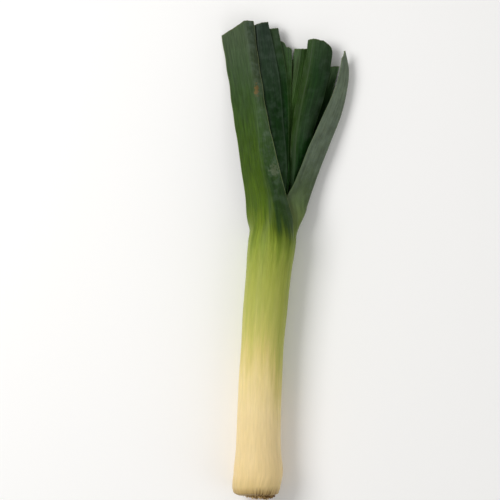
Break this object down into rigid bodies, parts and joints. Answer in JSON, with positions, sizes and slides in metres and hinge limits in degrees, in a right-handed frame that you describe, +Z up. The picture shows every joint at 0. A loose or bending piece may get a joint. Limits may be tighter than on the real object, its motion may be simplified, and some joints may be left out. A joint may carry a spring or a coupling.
{
  "type": "leek",
  "caption": "A trimmed leek lying on its side: pale bulb with cut root stubs, a long straight shaft and a fan of folded strap leaves with cut tips.",
  "frame": {"origin": "on the small flat spot under the bulb where the bulb is widest, on the surface that the leek lies on", "axes": "+Y from the root end to the leaf tips, +Z up from the surface, +X to the right with the roots nearest the viewer"},
  "size_m": [0.0844, 0.3164, 0.032],
  "materials": {
    "shaft": "smooth moist sheath skin, cream at the bulb and pale green at the neck",
    "roots": "dry brown trimmed root stubs",
    "leaves": "waxy blue-green strap leaves with fine lengthwise veins"
  },
  "bodies": {
    "root": {"shaft": "shaft", "root_stubs": "roots", "leaf_1": "leaves", "leaf_2": "leaves", "leaf_3": "leaves", "leaf_4": "leaves", "leaf_5": "leaves", "leaf_6": "leaves", "leaf_7": "leaves", "leaf_8": "leaves"}
  },
  "joints": []
}
